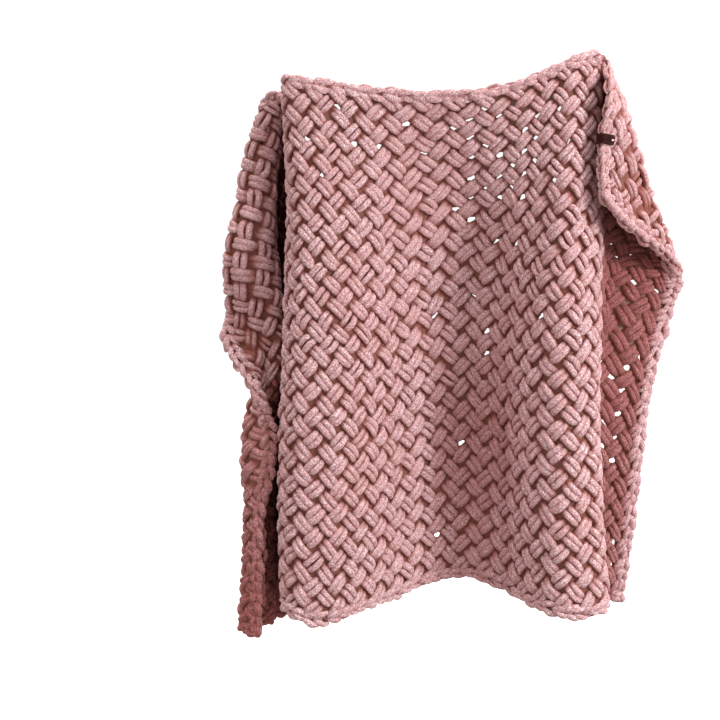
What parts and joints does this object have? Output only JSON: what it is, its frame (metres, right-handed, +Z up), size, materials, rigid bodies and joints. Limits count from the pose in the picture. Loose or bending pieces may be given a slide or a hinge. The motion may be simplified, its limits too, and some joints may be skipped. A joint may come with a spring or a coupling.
{
  "type": "chunky knit blanket",
  "caption": "Chunky basket-weave knit throw hanging from its top edge in wide folds, with a bare leather tab over the edge.",
  "frame": {"origin": "on the top edge, half way between the two places where it is held", "axes": "+X across the panel towards the lapel with the leather tab, +Y away from the panel's face, +Z up"},
  "size_m": [1.1873, 0.3472, 1.4462],
  "materials": {
    "chenille": "matte",
    "leather": "satin",
    "nickel": "satin"
  },
  "bodies": {
    "root": {"blanket": "chenille", "label": "leather", "rivet_back": "nickel", "rivet_face": "nickel"}
  },
  "joints": []
}
